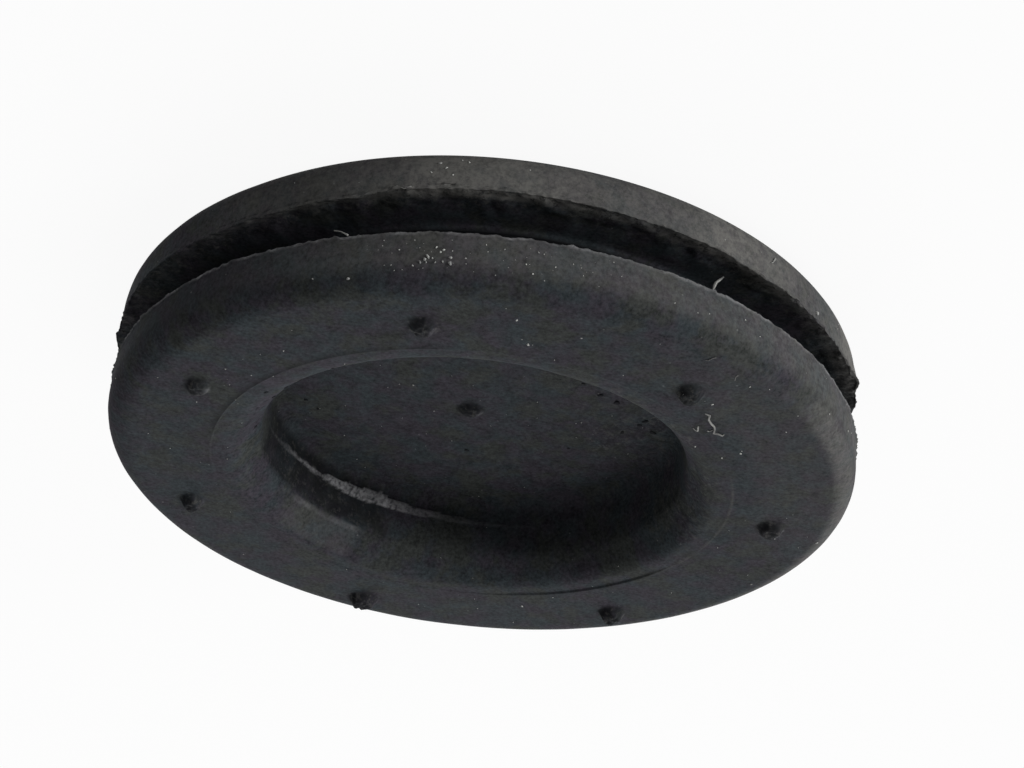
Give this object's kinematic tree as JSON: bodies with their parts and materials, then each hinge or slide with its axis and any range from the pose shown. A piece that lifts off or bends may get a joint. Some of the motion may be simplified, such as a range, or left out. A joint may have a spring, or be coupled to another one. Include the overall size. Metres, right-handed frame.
{
  "type": "closed rubber grommet",
  "caption": "Round closed rubber grommet with a panel groove, a recess in each side, a thin membrane that shuts the hole, and small moulding nubs on its front face.",
  "frame": {"origin": "centre of the back face of the rear flange, on the surface that the grommet lies on", "axes": "+Z out of the front face, along the axis of the panel hole; +X towards the side to which the front recess sits off centre"},
  "size_m": [0.0302, 0.0302, 0.0063],
  "materials": {
    "rubber": "matt moulded rubber, dusty, with rough flash"
  },
  "bodies": {
    "root": {"grommet": "rubber"}
  },
  "joints": []
}
